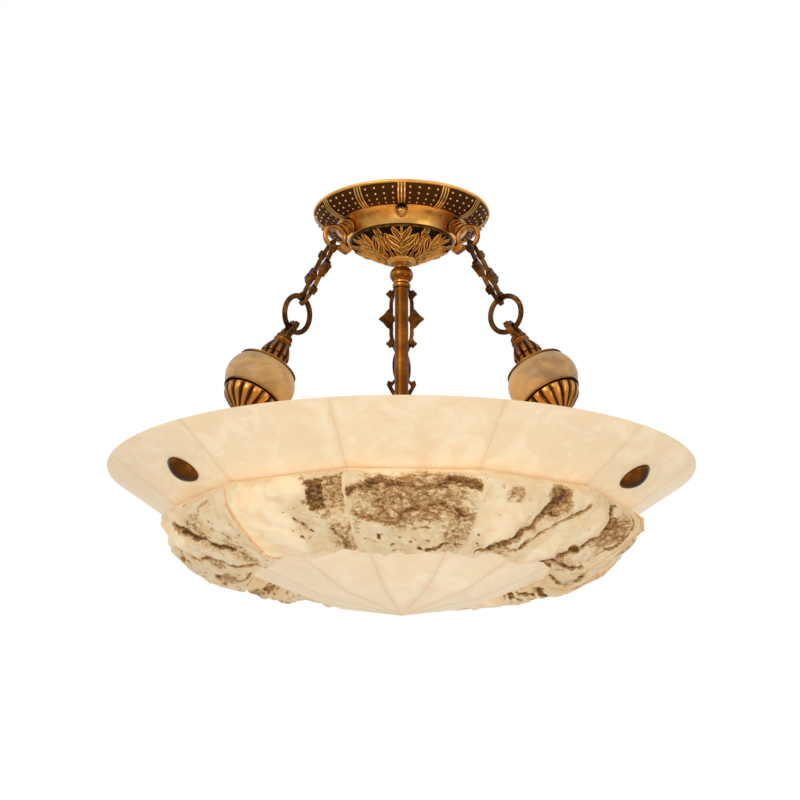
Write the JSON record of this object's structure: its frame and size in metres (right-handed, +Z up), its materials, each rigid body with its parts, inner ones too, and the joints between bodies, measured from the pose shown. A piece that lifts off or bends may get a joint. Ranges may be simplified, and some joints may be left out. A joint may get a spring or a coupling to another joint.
{
  "type": "alabaster bowl pendant light",
  "caption": "Flared alabaster bowl with a rough split-stone band, hung below a cast brass ceiling canopy by openwork links, rings and ball finials round a centre stem.",
  "frame": {"origin": "centre of the ceiling face of the mounting plate, where the fixing slots meet the ceiling", "axes": "+Z up into the ceiling, along the screws; the two fixing slots lie along X; -Y is the front"},
  "size_m": [0.4998, 0.4998, 0.3632],
  "materials": {
    "antique_brass": "antique cast brass, dark in the recesses",
    "bowl_alabaster": "polished translucent alabaster",
    "rock_alabaster": "rough split alabaster with brown crevices",
    "ball_alabaster": "polished honey alabaster",
    "zinc_steel": "zinc plated",
    "holder_plastic": "matt cream",
    "terminal_plastic": "matt white",
    "cable_sheath": "matt white sheath",
    "lamp_cap_metal": "nickel",
    "lamp_glass": "opal, lit"
  },
  "bodies": {
    "root": {"ceiling_plate": "zinc_steel", "canopy_pan": "antique_brass", "leaf_dome": "antique_brass", "canopy_thumb_screws": "antique_brass", "dome_screws": "zinc_steel", "hook_left": "antique_brass", "hook_right": "antique_brass", "hook_rear": "antique_brass", "hook_nuts": "zinc_steel", "stem_nipple": "zinc_steel", "stem_lock_nut": "zinc_steel", "stem_knuckle": "antique_brass", "stem_collar": "antique_brass", "stem_tube": "antique_brass", "lamp_cluster_body": "antique_brass", "lamp_cluster_nut": "zinc_steel", "lamp_cluster_cover": "antique_brass", "terminal_block": "terminal_plastic", "stem_cable": "cable_sheath", "lamp_caps": "lamp_cap_metal", "lamp_socket_front": "holder_plastic", "lamp_glass_front": "lamp_glass", "lamp_socket_right": "holder_plastic", "lamp_glass_right": "lamp_glass", "lamp_socket_left": "holder_plastic", "lamp_glass_left": "lamp_glass"},
    "bowl": {"bowl_upper_band": "bowl_alabaster", "bowl_rock_band": "rock_alabaster", "bowl_dish_band": "bowl_alabaster", "bowl_centre": "bowl_alabaster", "bowl_wall_washers": "zinc_steel", "bowl_wall_nuts": "zinc_steel", "finial_eye_left": "antique_brass", "finial_cap_left": "antique_brass", "finial_flanges_left": "antique_brass", "alabaster_ball_left": "ball_alabaster", "finial_cup_left": "antique_brass", "hanger_rod_left": "zinc_steel", "bowl_knob_left": "antique_brass", "finial_eye_right": "antique_brass", "finial_cap_right": "antique_brass", "finial_flanges_right": "antique_brass", "alabaster_ball_right": "ball_alabaster", "finial_cup_right": "antique_brass", "hanger_rod_right": "zinc_steel", "bowl_knob_right": "antique_brass", "finial_eye_rear": "antique_brass", "finial_cap_rear": "antique_brass", "finial_flanges_rear": "antique_brass", "alabaster_ball_rear": "ball_alabaster", "finial_cup_rear": "antique_brass", "hanger_rod_rear": "zinc_steel", "bowl_knob_rear": "antique_brass"},
    "link_left_body": {"link_left": "antique_brass"},
    "ring_left_body": {"ring_left": "antique_brass"},
    "link_right_body": {"link_right": "antique_brass"},
    "ring_right_body": {"ring_right": "antique_brass"},
    "link_rear_body": {"link_rear": "antique_brass"},
    "ring_rear_body": {"ring_rear": "antique_brass"}
  },
  "joints": [
    {"name": "bowl_sway", "type": "hinge", "parent": "root", "child": "bowl", "pos_m": [0, 0, 0.11084], "axis": [0, 1, 0], "range_deg": [-1.5, 1.5]},
    {"name": "link_left_swing", "type": "hinge", "parent": "root", "child": "link_left_body", "pos_m": [-0.06156, -0.03554, -0.04441], "axis": [0, 1, 0], "range_deg": [-4.5, 4.5]},
    {"name": "ring_left_spin", "type": "hinge", "parent": "link_left_body", "child": "ring_left_body", "pos_m": [-0.08878, -0.05125, -0.11306], "axis": [0.777, -0.6062, -0.1693], "continuous": true},
    {"name": "link_right_swing", "type": "hinge", "parent": "root", "child": "link_right_body", "pos_m": [0.06156, -0.03554, -0.04441], "axis": [0, 1, 0], "range_deg": [-4.5, 4.5]},
    {"name": "ring_right_spin", "type": "hinge", "parent": "link_right_body", "child": "ring_right_body", "pos_m": [0.08878, -0.05125, -0.11306], "axis": [0.617, 0.7842, 0.0651], "continuous": true},
    {"name": "link_rear_swing", "type": "hinge", "parent": "root", "child": "link_rear_body", "pos_m": [0, 0.07108, -0.04441], "axis": [0, 1, 0], "range_deg": [-4.5, 4.5]},
    {"name": "ring_rear_spin", "type": "hinge", "parent": "link_rear_body", "child": "ring_rear_body", "pos_m": [0, 0.10251, -0.11306], "axis": [-0.9135, -0.3698, -0.1693], "continuous": true}
  ],
  "couplings": [
    {"joint": "link_left_swing", "follows": "bowl_sway", "ratio": 2.9256},
    {"joint": "link_right_swing", "follows": "bowl_sway", "ratio": 2.9256},
    {"joint": "link_rear_swing", "follows": "bowl_sway", "ratio": 2.9256}
  ]
}
